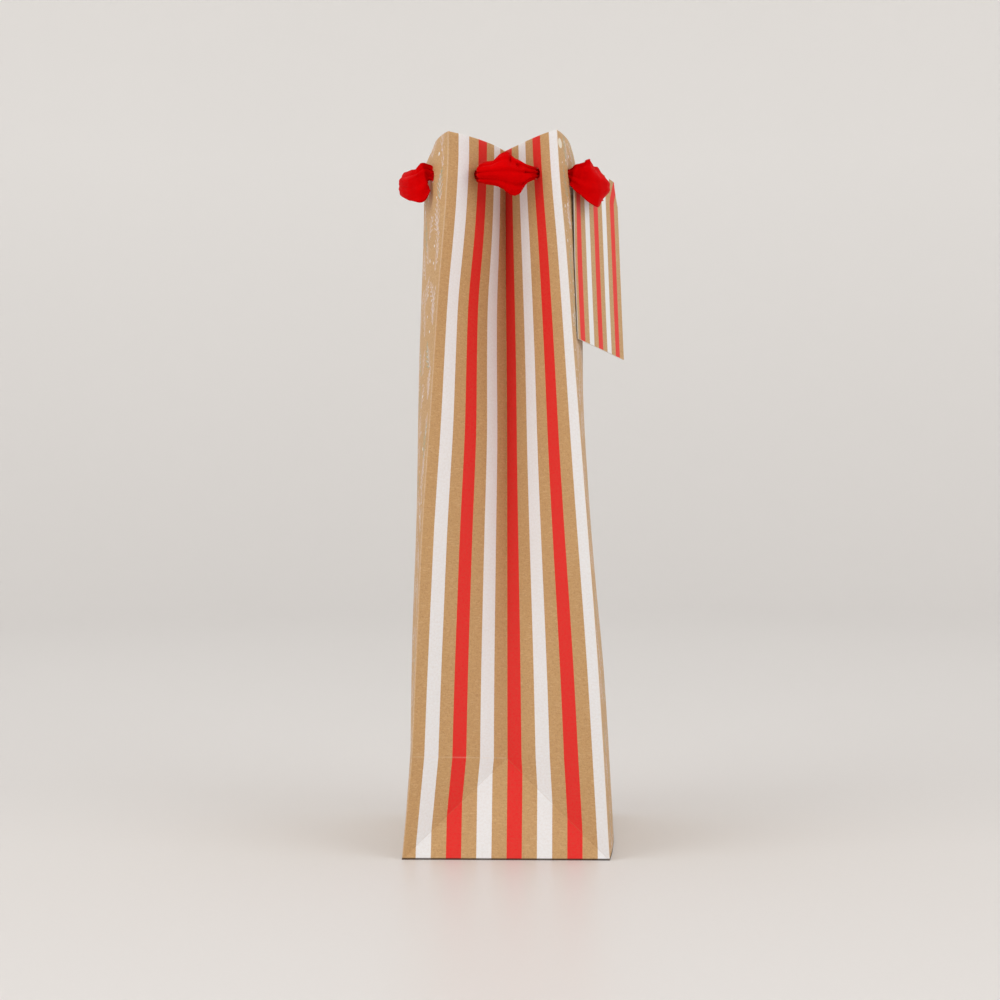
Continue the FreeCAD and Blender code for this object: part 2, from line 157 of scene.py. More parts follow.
def corner_z(v):
    above = KNEE_Z + (v - HALF) * (CORNER_TOP - KNEE_Z) / (HEIGHT - HALF)
    return np.where(v < HALF, v * KNEE_Z / HALF, above)


def crease_z(v):
    return APEX_Z + (v - HALF) * (CREASE_TOP - APEX_Z) / (HEIGHT - HALF)


def half_profile(side, z, reach):
    """Sideways and inward steps along a half gusset whose ends are reach apart.  The
    back half turns steadily, and the front half mostly near its corner."""
    t = (np.arange(N) + 0.5) / N
    r = OPENING[side](z)
    if side == "back":
        grow = t**BACK_TURN
    else:
        grow = 1 - np.exp(-t * HALF / FRONT_TURN)
    shape = r + (1 - r) * grow
    low, high = 0.0, math.pi / 2 / shape.max()
    for _ in range(40):
        mid = (low + high) / 2
        if np.cos(mid * shape).sum() * STEP > reach:
            low = mid
        else:
            high = mid
    along = np.concatenate([[0.0], np.cumsum(np.cos(low * shape)) * STEP])
    depth = np.concatenate([[0.0], np.cumsum(np.sin(low * shape)) * STEP])
    return along, depth


def gusset_row(v):
    """The left gusset at paper height v: columns from the back corner to the front."""
    s = np.arange(2 * N + 1) * STEP
    zc = float(corner_z(v))
    back = np.array([-corner_half("back", zc), float(corner_y("back", zc)), zc])
    front = np.array([-corner_half("front", zc), -float(corner_y("front", zc)), zc])
    if v < HALF - 1e-6:
        apex = np.array([-APEX_X, 0.0, APEX_Z])
        row = np.zeros((2 * N + 1, 3))
        feet = [np.array([-FRONT / 2, HALF, 0.0]), np.array([-FRONT / 2, -HALF, 0.0])]
        knees = []
        for side, sign in (("back", 1), ("front", -1)):
            x = -float(corner_half(side, KNEE_Z))
            knees.append(np.array([x, sign * float(corner_y(side, KNEE_Z)), KNEE_Z]))
        for j in range(2 * N + 1):
            end = 0 if j <= N else 1
            t = s[j] if end == 0 else GUSSET - s[j]
            if t > v:
                row[j] = feet[0] + (feet[1] - feet[0]) * s[j] / GUSSET
                row[j] += (apex - (feet[0] + feet[1]) / 2) * v / HALF
            else:
                row[j] = feet[end] + (knees[end] - feet[end]) * (v - t) / HALF
                row[j] += (apex - feet[end]) * t / HALF
        return row
    zk = float(crease_z(v))
    crease_y = CREASE_DRIFT * float(smooth((zk - 200) / 100))
    along_b, depth_b = half_profile("back", zc, back[1] - crease_y)
    along_f, depth_f = half_profile("front", zc, crease_y - front[1])
    deep = (depth_b[-1] + depth_f[-1]) / 2
    deep += (FRONT / 2 - APEX_X - deep) * math.exp(-(v - HALF) / APEX_REACH)
    row = np.zeros((2 * N + 1, 3))
    for corner, along, depth, sign, cols in (
        (back, along_b, depth_b, -1, range(N + 1)),
        (front, along_f, depth_f, 1, range(2 * N, N - 1, -1)),
    ):
        inward = deep - (FRONT / 2 + corner[0])
        for k, j in enumerate(cols):
            x = corner[0] + depth[k] * inward / depth[-1]
            y = corner[1] + sign * along[k]
            row[j] = (x, y, zc + (zk - zc) * k / N)
    return row


def panel_row(side, v):
    """A panel at paper height v, from -X to +X."""
    z = float(corner_z(v))
    half = float(corner_half(side, z))
    cols = int(round(FRONT / STEP)) + 1
    x = np.linspace(-half, half, cols)
    y = float(corner_y(side, z)) + float(BULGE[side](z)) * (1 - (x / half) ** 2)
    if side == "front":
        y = -y
    return np.stack([x, y, np.full(cols, z)], 1)


def ripple(s, v, span, seed):
    """Slight unevenness of handled paper, none at the corners and the foot."""
    rng = np.random.default_rng(seed)
    total = np.zeros(np.broadcast(s, v).shape)
    for _ in range(WAVES):
        a = rng.uniform(0.02, 0.09)
        b = rng.uniform(0.012, 0.06)
        total += rng.uniform(0.4, 1.0) * np.sin(a * s + b * v + rng.uniform(0, 6.28))
    edge = np.clip(np.minimum(s, span - s) / 10.0, 0, 1)
    return WAVE_HEIGHT * total * edge * np.clip(v / 25.0, 0, 1)


ROWS = int(round(HEIGHT / STEP))
V_WALL = np.arange(ROWS + 1) * STEP


def section(v):
    """The whole bag at paper height v as a closed ring, anticlockwise from above."""
    left = gusset_row(v)
    right = left[::-1].copy()
    right[:, 0] *= -1
    front = panel_row("front", v)
    back = panel_row("back", v)[::-1]
    return {"left": left, "front": front, "right": right, "back": back}


WALLS = ("left", "front", "right", "back")
SECTIONS = [section(v) for v in V_WALL]
GRID = {w: np.array([s[w] for s in SECTIONS]) for w in WALLS}
SPAN = {"left": GUSSET, "right": GUSSET, "front": FRONT, "back": FRONT}
for seed, wall in enumerate(WALLS):
    grid = GRID[wall]
    cols = grid.shape[1]
    s = np.linspace(0, SPAN[wall], cols)[None, :]
    wave = ripple(s, V_WALL[:, None], SPAN[wall], 11 + seed)
    if wall in ("left", "right"):
        wave *= np.clip(np.abs(s - HALF) / 8, 0, 1) * 0.8
    ds = np.gradient(grid, axis=1)
    out = np.stack([ds[..., 1], -ds[..., 0], np.zeros_like(wave)], -1)
    out /= np.linalg.norm(out, axis=-1, keepdims=True)
    grid += out * wave[..., None]


def inward_field(wall):
    """For each point of a wall, the step into the bag for 1 mm of paper thickness.
    At a shared corner it is the mitre of both walls; at the gusset fold it is held
    short, because folded paper rounds a sharp ridge."""
    order = WALLS.index(wall)
    before = GRID[WALLS[order - 1]]
    after = GRID[WALLS[(order + 1) % 4]]
    grid = GRID[wall]

    def unit(d):
        n = np.stack([-d[..., 1], d[..., 0]], -1)
        return n / np.linalg.norm(n, axis=-1, keepdims=True)

    seg = unit(np.diff(grid, axis=1))
    first = unit((before[:, -1] - before[:, -2])[:, None])
    last = unit((after[:, 1] - after[:, 0])[:, None])
    left = np.concatenate([first, seg], 1)
    right = np.concatenate([seg, last], 1)
    mean = left + right
    mean /= np.maximum((mean * left).sum(-1, keepdims=True), MITRE_MIN)
    if wall in ("left", "right"):
        ridge = mean[:, N]
        length = np.linalg.norm(ridge, axis=-1, keepdims=True)
        mean[:, N] = ridge / length * np.minimum(length, RIDGE_MAX)
    return np.concatenate([mean, np.zeros(mean.shape[:2] + (1,))], -1)


INWARD = {w: inward_field(w) for w in WALLS}


def sample(wall, s, v, field=None):
    """A point of a wall, or of another field on its grid, between the grid's lines."""
    grid = GRID[wall] if field is None else field[wall]
    j = np.clip(s / SPAN[wall] * (grid.shape[1] - 1), 0, grid.shape[1] - 1 - 1e-9)
    i = np.clip(v / STEP, 0, grid.shape[0] - 1 - 1e-9)
    i0, j0 = int(i), int(j)
    a, b = i - i0, j - j0
    return (
        grid[i0, j0] * (1 - a) * (1 - b)
        + grid[i0 + 1, j0] * a * (1 - b)
        + grid[i0, j0 + 1] * (1 - a) * b
        + grid[i0 + 1, j0 + 1] * a * b
    )


# Where the ribbon goes through each wall, in paper coordinates.
HOLES = {
    "left": [(21.3, HOLE_V + 1.3), (GUSSET - 18.0, HOLE_V + 1.1)],
    "right": [(18.0, HOLE_V + 1.1), (GUSSET - 21.3, HOLE_V + 1.3)],
    "front": [(19.8, HOLE_V), (FRONT - 19.8, HOLE_V)],
    "back": [(20.6, HOLE_V), (FRONT - 20.6, HOLE_V)],
}


def hem_depth(wall, s):
    """How far inside the outer face the hem's face lies: more where it covers card,
    which starts between 3 and 8 mm from a panel's edge."""
    if wall in ("left", "right"):
        return HEM_GAP
    room = float(smooth((min(s, FRONT - s) - 3.0) / 5.0))
    return HEM_GAP + (CARD_GAP - HEM_GAP) * room


def make_mesh(name, verts, faces, materials, mat_index=None, coords=None):
    mesh = bpy.data.meshes.new(name)
    mesh.from_pydata([tuple(p) for p in np.asarray(verts) * MM], [], faces)
    if mesh.validate():
        raise RuntimeError(f"{name}: the mesh needed repair")
    mesh.shade_smooth()
    for material in materials:
        mesh.materials.append(material)
    if mat_index is not None:
        mesh.polygons.foreach_set("material_index", mat_index)
    if coords is not None:
        layer = mesh.attributes.new("paper", "FLOAT_VECTOR", "POINT")
        layer.data.foreach_set("vector", np.asarray(coords, np.float32).ravel())
    mesh.update()
    piece = bpy.data.objects.new(name, mesh)
    bpy.context.scene.collection.objects.link(piece)
    return piece


def sharpen(piece, keys):
    """Keeps the shading crisp at these edges."""
    for edge in piece.data.edges:
        if tuple(sorted(edge.vertices)) in keys:
            edge.use_edge_sharp = True


def rim_faces(faces, count):
    """Walls between a sheet's two sides round every open edge of its faces."""
    seen = {}
    for face in faces:
        for a, b in zip(face, face[1:] + face[:1]):
            seen[(a, b)] = True
    return [(b, a, a + count, b + count) for a, b in seen if (b, a) not in seen]


def cut_hole(cells, row, col, reach, centre, radius):
    """Drops the cells round a point of the grid.  Returns where the points of the
    square round them go, to make a round hole."""
    for i in range(row - reach, row + reach):
        for j in range(col - reach, col + reach):
            cells.discard((i, j))
    ring = [(row - reach, j) for j in range(col - reach, col + reach)]
    ring += [(i, col + reach) for i in range(row - reach, row + reach)]
    ring += [(row + reach, j) for j in range(col + reach, col - reach, -1)]
    ring += [(i, col - reach) for i in range(row + reach, row - reach, -1)]
    moved = {}
    for n, spot in enumerate(ring):
        turn = math.radians(-135 + 360 * n / len(ring))
        moved[spot] = (centre[0] + radius * math.cos(turn),
                       centre[1] + radius * math.sin(turn))
    return moved


def opened(cells, holes, v_of_row, s_of_col):
    """Cuts each ribbon hole, and returns where the points round it go."""
    moved = {}
    for s0, v0 in holes:
        col = int(round(np.interp(s0, s_of_col, np.arange(len(s_of_col)))))
        row = int(np.argmin(np.abs(v_of_row - v0)))
        moved.update(cut_hole(cells, row, col, 1, (s0, v0), HOLE_R))
    return moved


def quads(cells, cols):
    """The faces of these cells of a grid with so many columns."""
    return [(i * cols + j, i * cols + j + 1, (i + 1) * cols + j + 1, (i + 1) * cols + j)
            for i, j in cells]


def shell(name, near, far, top, materials, coords=None):
    """A closed thin sheet from its two sides.  top holds the faces of the near side,
    and the last material goes on the far side and the rim.  Also returns the rim's
    edges."""
    count = len(near)
    under = [tuple(k + count for k in reversed(face)) for face in top]
    rims = rim_faces(top, count)
    index = [0] * len(top) + [len(materials) - 1] * (len(under) + len(rims))
    piece = make_mesh(name, near + far, top + under + rims, materials, index, coords)
    rim_edges = set()
    for face in piece.data.polygons[len(top) + len(under):]:
        rim_edges.update(face.edge_keys)
    return piece, rim_edges


def paper_wall(wall, name, printed, bare):
    """One wall with its fold over the top edge and its hem, as a closed thin shell."""
    cols = GRID[wall].shape[1]
    s_of_col = np.linspace(0, SPAN[wall], cols)
    turns = [math.pi * k / (FOLD_ROWS - 1) for k in range(FOLD_ROWS)]
    hem = [HEIGHT - STEP * k for k in range(1, int(HEM / STEP) + 1)]
    rows = [("wall", 0.0, v) for v in V_WALL[:-1]]
    rows += [("fold", turn, HEIGHT + 0.5 * turn) for turn in turns]
    rows += [("hem", 0.0, 2 * HEIGHT - v + FOLD_V) for v in hem]
    v_of_row = np.array([v for _, _, v in rows])
    cells = {(i, j) for i in range(len(rows) - 1) for j in range(cols - 1)}
    mirrored = [(s, 2 * HEIGHT - v + FOLD_V) for s, v in HOLES[wall]]
    moved = opened(cells, HOLES[wall] + mirrored, v_of_row, s_of_col)
    outer, inner, coords = [], [], []
    for i, (kind, turn, _) in enumerate(rows):
        for j in range(cols):
            s, v = s_of_col[j], v_of_row[i]
            if (i, j) in moved:
                s, v = moved[i, j]
            gap = hem_depth(wall, s)
            level = {"wall": v, "fold": HEIGHT, "hem": 2 * HEIGHT + FOLD_V - v}[kind]
            spot, step = sample(wall, s, level), sample(wall, s, level, INWARD)
            if kind == "wall":
                outer.append(spot)
                inner.append(spot + step * PAPER)
            elif kind == "fold":
                for layer, thick in ((outer, 0.0), (inner, PAPER)):
                    r = gap / 2 - thick
                    move = step * (gap / 2 - r * math.cos(turn))
                    lift = UP * (r * math.sin(turn) * FOLD_RISE)
                    layer.append(spot + move + lift)
            else:
                settle = 1 - HEM_SETTLE * float(smooth((HEIGHT - level - HEM + 6) / 6))
                outer.append(spot + step * gap * settle)
                inner.append(spot + step * (gap * settle - PAPER))
            coords.append((s, v, float(wall in ("front", "back"))))
    gusset = wall in ("left", "right")
    top = []
    for i, j in sorted(cells):
        a, b = i * cols + j, i * cols + j + 1
        c, d = b + cols, a + cols
        if gusset and i < N and j == i:
            top += [(a, b, c), (a, c, d)]
        elif gusset and i < N and j == 2 * N - 1 - i:
            top += [(a, b, d), (b, c, d)]
        else:
            top.append((a, b, c, d))
    piece, sharp = shell(name, outer, inner, top, [printed, bare], coords + coords)

    def crease(a, b):
        for shift in (0, len(outer)):
            sharp.add((min(a, b) + shift, max(a, b) + shift))

    # Folds that stay crisp: the back's knee, the gusset's middle fold and its foot.
    back_cols = {"left": range(N), "right": range(N, 2 * N), "back": range(cols - 1)}
    for j in back_cols.get(wall, ()):
        crease(N * cols + j, N * cols + j + 1)
    if gusset:
        for i in range(N, ROWS):
            crease(i * cols + N, (i + 1) * cols + N)
        for k in range(N):
            crease(k * cols + k, (k + 1) * cols + k + 1)
            crease(k * cols + 2 * N - k, (k + 1) * cols + 2 * N - k - 1)
    sharpen(piece, sharp)
    return piece


# --- materials ------------------------------------------------------------------------
class Nodes:
    """A material, with short names for building its node tree."""

    def __init__(self, name):
        self.material = bpy.data.materials.new(name)
        self.material.use_nodes = True
        self.tree = self.material.node_tree
        self.tree.nodes.clear()
        self.shader = self.new("BsdfPrincipled")
        out = self.new("OutputMaterial")
        self.tree.links.new(self.shader.outputs[0], out.inputs["Surface"])

    def new(self, kind, **inputs):
        node = self.tree.nodes.new("ShaderNode" + kind)
        self.fill(node, **inputs)
        return node

    def put(self, socket, value):
        if isinstance(value, bpy.types.NodeSocket):
            self.tree.links.new(value, socket)
        elif isinstance(value, tuple) and len(value) == 3 and socket.type == "RGBA":
            socket.default_value = (*value, 1.0)
        else:
            socket.default_value = value

    def fill(self, node, **inputs):
        """Sets a node's inputs, written with _ for a space."""
        for name, value in inputs.items():
            self.put(node.inputs[name.replace("_", " ")], value)

    def math(self, op, *values):
        node = self.new("Math")
        node.operation = op
        for socket, value in zip(node.inputs, values):
            self.put(socket, value)
        return node.outputs[0]

    def add(self, a, b):
        return self.math("ADD", a, b)

    def sub(self, a, b):
        return self.math("SUBTRACT", a, b)

    def mul(self, a, b):
        return self.math("MULTIPLY", a, b)

    def mix(self, factor, a, b):
        node = self.new("Mix")
        node.data_type = "RGBA"
        for place, value in ((0, factor), (6, a), (7, b)):
            self.put(node.inputs[place], value)
        return node.outputs[2]

    def ramp(self, value, low, high, to_low=0.0, to_high=1.0):
        node = self.new("MapRange", Value=value, From_Min=low, From_Max=high,
                        To_Min=to_low, To_Max=to_high)
        node.clamp = True
        return node.outputs["Result"]

    def noise(self, vector, scale, detail=2.0, rough=0.5, distort=0.0):
        node = self.new("TexNoise", Vector=vector, Scale=scale, Detail=detail,
                        Roughness=rough, Distortion=distort)
        return node.outputs["Fac"]

    def voronoi(self, vector, scale, randomness):
        node = self.new("TexVoronoi", Vector=vector, Scale=scale, Randomness=randomness)
        node.voronoi_dimensions = "2D"
        return node

    def split(self, vector):
        return self.new("SeparateXYZ", Vector=vector).outputs

    def join(self, x, y, z=0.0):
        return self.new("CombineXYZ", X=x, Y=y, Z=z).outputs[0]

    def object_mm(self):
        """The point's place on the object, in millimetres."""
        node = self.new("VectorMath", Vector=self.new("TexCoord").outputs["Object"])
        node.operation = "SCALE"
        node.inputs["Scale"].default_value = 1 / MM
        return node.outputs[0]

    def paper_mm(self):
        """The paper coordinates stored on the mesh, in millimetres."""
        node = self.new("Attribute")
        node.attribute_name = "paper"
        return node.outputs["Vector"]

    def bump(self, height, strength, distance):
        node = self.new("Bump", Height=height, Strength=strength, Distance=distance)
        return node.outputs[0]


KRAFT = (0.56, 0.338, 0.150)
KRAFT_DARK = (0.40, 0.215, 0.092)
KRAFT_LIGHT = (0.72, 0.50, 0.29)
WHITE_INK = (0.82, 0.83, 0.85)
WHITE_THIN = (0.72, 0.69, 0.66)
RED_INK = (0.78, 0.012, 0.016)
RED_THIN = (0.64, 0.016, 0.018)
# The red of the painted shade in the gusset's deep fold near the top.
RED_FOLD_SHADE = (0.72, 0.004, 0.009)
LILAC_INK = (0.74, 0.68, 0.72)
TEAL_INK = (0.16, 0.42, 0.38)
BLOT_INK = (0.80, 0.74, 0.62)
WORN = (0.86, 0.74, 0.60)
# The colour of the painted contact shadow along the bag's foot.
PAINTED_CONTACT_SHADOW = (0.03, 0.015, 0.01)
SATIN_RED = (0.66, 0.0006, 0.0012)
SATIN_DEEP = (0.56, 0.0004, 0.001)
SATIN_DARK = (0.40, 0.0003, 0.0008)
SATIN_EDGE = (0.38, 0.0003, 0.0008)
GREYS = ((0.50, 0.46, 0.40), (0.43, 0.39, 0.33), (0.28, 0.25, 0.22), (0.66, 0.62, 0.55))
CORE_WHITE, CORE_FLECK = (0.80, 0.78, 0.74), (0.68, 0.65, 0.60)
PRINT_MARGIN = 4.5
# The pale blot at the front panel's top: from its left and top edges, and half sizes.
BLOT_S, BLOT_DOWN, BLOT_WIDE, BLOT_TALL = 4.6, 5.6, 3.8, 2.5


def kraft_base(n, spot):
    """Kraft pulp: soft clouds, fine flecks, longer dark strands and pale fibres."""
    cloud = n.noise(spot, 0.035, 3.0)
    fleck = n.noise(spot, 0.9, 4.0, 0.7)
    x, y, _ = n.split(spot)
    flat = n.join(n.mul(x, 0.35), n.mul(y, 1.6))
    fibre = n.noise(flat, 1.1, 3.0, 0.65, 1.2)
    steep = n.join(n.add(n.mul(x, 1.5), n.mul(y, 0.6)), n.sub(n.mul(y, 0.5), n.mul(x, 0.3)))
    strand = n.noise(steep, 0.9, 3.0, 0.6, 1.6)
    colour = n.mix(n.ramp(cloud, 0.3, 0.7, 0.0, 0.14), KRAFT, KRAFT_DARK)
    colour = n.mix(n.ramp(fleck, 0.50, 0.66, 0.0, 0.55), colour, KRAFT_DARK)
    colour = n.mix(n.ramp(strand, 0.55, 0.65, 0.0, 0.50), colour, KRAFT_DARK)
    colour = n.mix(n.ramp(fibre, 0.53, 0.65, 0.0, 0.42), colour, KRAFT_LIGHT)
    return colour, fleck, fibre


def finish_paper(n, colour, fleck, fibre, gloss):
    rough = n.ramp(fleck, 0.3, 0.7, gloss - 0.06, gloss + 0.1)
    grain = n.add(n.mul(fleck, 0.7), n.mul(fibre, 0.5))
    n.fill(n.shader, Base_Color=colour, Roughness=rough, Specular_IOR_Level=0.16,
           Normal=n.bump(grain, 0.16, 0.0002))
    return n.material


def near_line(n, value, half, spot):
    """1 where value is near zero, fading out at half, and ragged along its length."""
    ragged = n.ramp(n.noise(spot, 0.5, 3.0, 0.7), 0.3, 0.7, 0.35, 1.0)
    distance = n.math("ABSOLUTE", value)
    return n.mul(n.ramp(distance, half * 0.3, half, 1.0, 0.0), ragged)


def wear_and_contact_shadow(n, colour, spot, s, v, span, knee):
    """Rubbed, paler paper on the corners, the top edge and the knee, and painted shade:
    a dark contact shadow where the paper meets the floor."""
    edge = n.math("MINIMUM", s, n.sub(span, s))
    wear = near_line(n, edge, 0.75, spot)
    top = near_line(n, n.sub(v, HEIGHT + 0.8), 0.9, spot)
    wear = n.math("MAXIMUM", wear, n.mul(top, 0.9))
    foot = near_line(n, v, 0.8, spot)
    wear = n.math("MAXIMUM", wear, n.mul(foot, 0.6))
    if knee is not None:
        line = n.mul(near_line(n, n.sub(v, HALF), 0.5, spot), knee)
        wear = n.math("MAXIMUM", wear, n.mul(line, 0.45))
    colour = n.mix(n.mul(wear, 0.42), colour, WORN)
    # Painted shade: a dark contact shadow in the lowest millimetre of the paper.
    return n.mix(n.ramp(v, 0.7, 1.1, 0.92, 0.0), colour, PAINTED_CONTACT_SHADOW)


GUSSET_SHIFT = 0.67  # where the pattern starts at the back corner, and on the tag
TAG_SHIFT = 18.96


def stripes(n, along):
    """Masks of the white and the red bands across the paper."""
    turn = n.math("MODULO", along, 4 * STRIPE)
    white = n.math("COMPARE", turn, 1.5 * STRIPE, STRIPE / 2)
    red = n.math("COMPARE", turn, 3.5 * STRIPE, STRIPE / 2)
    return white, red


def striped_paper(name, mirror):
    n = Nodes(name)
    spot = n.paper_mm()
    s, v, _ = n.split(spot)
    colour, fleck, fibre = kraft_base(n, spot)
    wobble = n.ramp(n.noise(spot, 1.4, 2.0), 0.0, 1.0, -0.07, 0.07)
    white, red = stripes(n, n.add(n.add(s, GUSSET_SHIFT), wobble))
    thin = n.ramp(fleck, 0.35, 0.75, 0.98, 0.86)
    ink = n.mix(n.ramp(fleck, 0.4, 0.8, 0.0, 0.25), WHITE_INK, WHITE_THIN)
    colour = n.mix(n.mul(white, thin), colour, ink)
    ink = n.mix(n.ramp(fleck, 0.4, 0.8, 0.0, 0.35), RED_INK, RED_THIN)
    # Painted shade: the red grows deeper and darker towards the top, where the gusset folds
    # in deep.
    ink = n.mix(n.ramp(v, 150.0, 330.0), ink, RED_FOLD_SHADE)
    colour = n.mix(n.mul(red, thin), colour, ink)
    if mirror:
        back_half = n.math("GREATER_THAN", s, HALF)
        from_back = n.sub(GUSSET, s)
    else:
        back_half = n.math("LESS_THAN", s, HALF)
        from_back = s
    colour = wear_and_contact_shadow(n, colour, spot, s, v, GUSSET, back_half)
    # Painted shade: darker lines along the foot's two diagonal folds, below the knee.
    low = n.math("LESS_THAN", v, HALF)
    for slope in (n.sub(from_back, v), n.sub(n.sub(GUSSET, from_back), v)):
        line = n.mul(near_line(n, slope, 0.45, spot), low)
        colour = n.mix(n.mul(line, 0.22), colour, KRAFT_DARK)
    return finish_paper(n, colour, fleck, fibre, 0.50)


def sprig(n, spot, scale, length, seed, leaf, width):
    """Little printed sprigs, one to a cell, each turned its own way.
    Returns their mask and a random number for each cell."""
    shifted = n.new("VectorMath", Vector=spot)
    shifted.inputs[1].default_value = (seed * 13.7, seed * 7.3, 0.0)
    place = shifted.outputs[0]
    cell = n.voronoi(place, scale, 0.55)
    x, y, _ = n.split(place)
    cx, cy, _ = n.split(cell.outputs["Position"])
    chance, second, _ = n.split(cell.outputs["Color"])
    dx, dy = n.sub(x, cx), n.sub(y, cy)
    turn = n.ramp(chance, 0.0, 1.0, -0.75, 0.75)
    cos, sin = n.math("COSINE", turn), n.math("SINE", turn)
    px = n.sub(n.mul(dx, cos), n.mul(dy, sin))
    py = n.add(n.mul(dx, sin), n.mul(dy, cos))
    bend = n.mul(n.mul(py, py), 0.018)
    px = n.sub(px, bend)
    side = n.math("ABSOLUTE", px)
    inside = n.math("LESS_THAN", n.math("ABSOLUTE", py), length)
    stem = n.mul(n.math("LESS_THAN", side, width), inside)
    climb = n.sub(py, n.mul(side, 1.05))
    tooth = n.math("PINGPONG", climb, leaf / 2)
    taper = n.ramp(n.math("ABSOLUTE", py), 0.0, length, 1.0, 0.15)
    reach = n.math("LESS_THAN", side, n.mul(taper, leaf * 1.5))
    barb = n.math("LESS_THAN", tooth, width * 1.15)
    barbs = n.mul(n.mul(barb, reach), inside)
    return n.math("MAXIMUM", stem, barbs), second


def printed_paper(name):
    n = Nodes(name)
    spot = n.paper_mm()
    s, v, _ = n.split(spot)
    colour, fleck, fibre = kraft_base(n, spot)
    thin = n.ramp(fleck, 0.35, 0.75, 0.97, 0.72)
    edge = n.math("MINIMUM", s, n.sub(FRONT, s))
    margin = n.math("GREATER_THAN", edge, PRINT_MARGIN)
    for scale, length, seed, share in ((1 / 21.0, 9.0, 1, 0.42), (1 / 17.0, 6.5, 4, -1.0)):
        mask, pick = sprig(n, spot, scale, length, seed, leaf=3.0, width=0.36)
        ink = n.mix(n.math("GREATER_THAN", pick, share), TEAL_INK, LILAC_INK)
        mask = n.mul(n.mul(mask, thin), margin)
        colour = n.mix(n.mul(mask, 0.55), colour, ink)
    dots = n.voronoi(spot, 1 / 8.5, 0.8)
    rare, size, _ = n.split(dots.outputs["Color"])
    radius = n.ramp(size, 0.0, 1.0, 0.045, 0.11)
    round_dot = n.math("LESS_THAN", dots.outputs["Distance"], radius)
    shown = n.mul(round_dot, n.math("GREATER_THAN", rare, 0.6))
    shown = n.mul(n.mul(shown, thin), margin)
    colour = n.mix(shown, colour, WHITE_INK)
    if "front" in name:
        across = n.math("DIVIDE", n.sub(s, BLOT_S), BLOT_WIDE)
        up = n.math("DIVIDE", n.sub(v, HEIGHT - BLOT_DOWN), BLOT_TALL)
        reach = n.add(n.mul(across, across), n.mul(up, up))
        colour = n.mix(n.ramp(reach, 0.75, 1.1, 0.9, 0.0), colour, BLOT_INK)
    colour = wear_and_contact_shadow(n, colour, spot, s, v, FRONT, 1.0 if "back" in name else None)
    return finish_paper(n, colour, fleck, fibre, 0.46)


def bare_paper(name):
    n = Nodes(name)
    colour, fleck, fibre = kraft_base(n, n.object_mm())
    return finish_paper(n, colour, fleck, fibre, 0.62)


def grey_card(name):
    n = Nodes(name)
    spot = n.object_mm()
    fleck = n.noise(spot, 0.8, 4.0, 0.75)
    cloud = n.noise(spot, 0.05, 2.0)
    fibre = n.noise(spot, 2.2, 2.0, 0.6, 1.5)
    colour = n.mix(n.ramp(cloud, 0.3, 0.7), GREYS[0], GREYS[1])
    colour = n.mix(n.ramp(fleck, 0.55, 0.75, 0.0, 0.5), colour, GREYS[2])
    colour = n.mix(n.ramp(fibre, 0.62, 0.74, 0.0, 0.4), colour, GREYS[3])
    return finish_paper(n, colour, fleck, fibre, 0.72)


def tag_print(name):
    n = Nodes(name)
    spot = n.paper_mm()
    s = n.split(spot)[0]
    colour, fleck, fibre = kraft_base(n, spot)
    white, red = stripes(n, n.add(s, TAG_SHIFT))
    thin = n.ramp(fleck, 0.35, 0.75, 0.98, 0.86)
    colour = n.mix(n.mul(white, thin), colour, WHITE_INK)
    colour = n.mix(n.mul(red, thin), colour, RED_INK)
    return finish_paper(n, colour, fleck, fibre, 0.48)


def white_card(name):
    n = Nodes(name)
    spot = n.object_mm()
    fleck = n.noise(spot, 1.2, 4.0, 0.7)
    fibre = n.noise(spot, 2.5, 2.0, 0.6, 1.2)
    colour = n.mix(n.ramp(fleck, 0.4, 0.8, 0.0, 0.3), CORE_WHITE, CORE_FLECK)
    return finish_paper(n, colour, fleck, fibre, 0.55)


def red_satin(name):
    n = Nodes(name)
    spot = n.paper_mm()
    s, v, _ = n.split(spot)
    warp = n.noise(n.join(n.mul(s, 6.0), n.mul(v, 0.5)), 1.0, 2.0)
    weave = n.mul(n.math("SINE", n.mul(s, 26.0)), n.math("SINE", n.mul(v, 14.0)))
    cloud = n.noise(spot, 0.16, 2.0)
    colour = n.mix(n.ramp(cloud, 0.3, 0.7), SATIN_RED, SATIN_DEEP)
    colour = n.mix(n.ramp(warp, 0.55, 0.8, 0.0, 0.35), colour, SATIN_DARK)
    edge = n.ramp(n.math("ABSOLUTE", n.sub(s, RIBBON / 2)), 10.2, RIBBON / 2)
    colour = n.mix(n.mul(edge, 0.5), colour, SATIN_EDGE)
    height = n.add(n.mul(warp, 0.8), n.mul(weave, 0.25))
    n.fill(n.shader, Base_Color=colour, Roughness=n.ramp(warp, 0.3, 0.7, 0.50, 0.62),
           Anisotropic=0.35, Specular_IOR_Level=0.02, Specular_Tint=(1.0, 0.02, 0.03),
           Normal=n.bump(height, 0.22, 0.00025))
    return n.material


M_STRIPE_L = striped_paper("stripes_left", False)
M_STRIPE_R = striped_paper("stripes_right", True)
M_PRINT_F = printed_paper("print_front")
M_PRINT_B = printed_paper("print_back")
M_BARE = bare_paper("bare_kraft")
M_CARD = grey_card("grey_board")
M_TAG = tag_print("tag_stripes")
M_TAG_CORE = white_card("tag_core")
M_SATIN = red_satin("red_satin_ribbon")

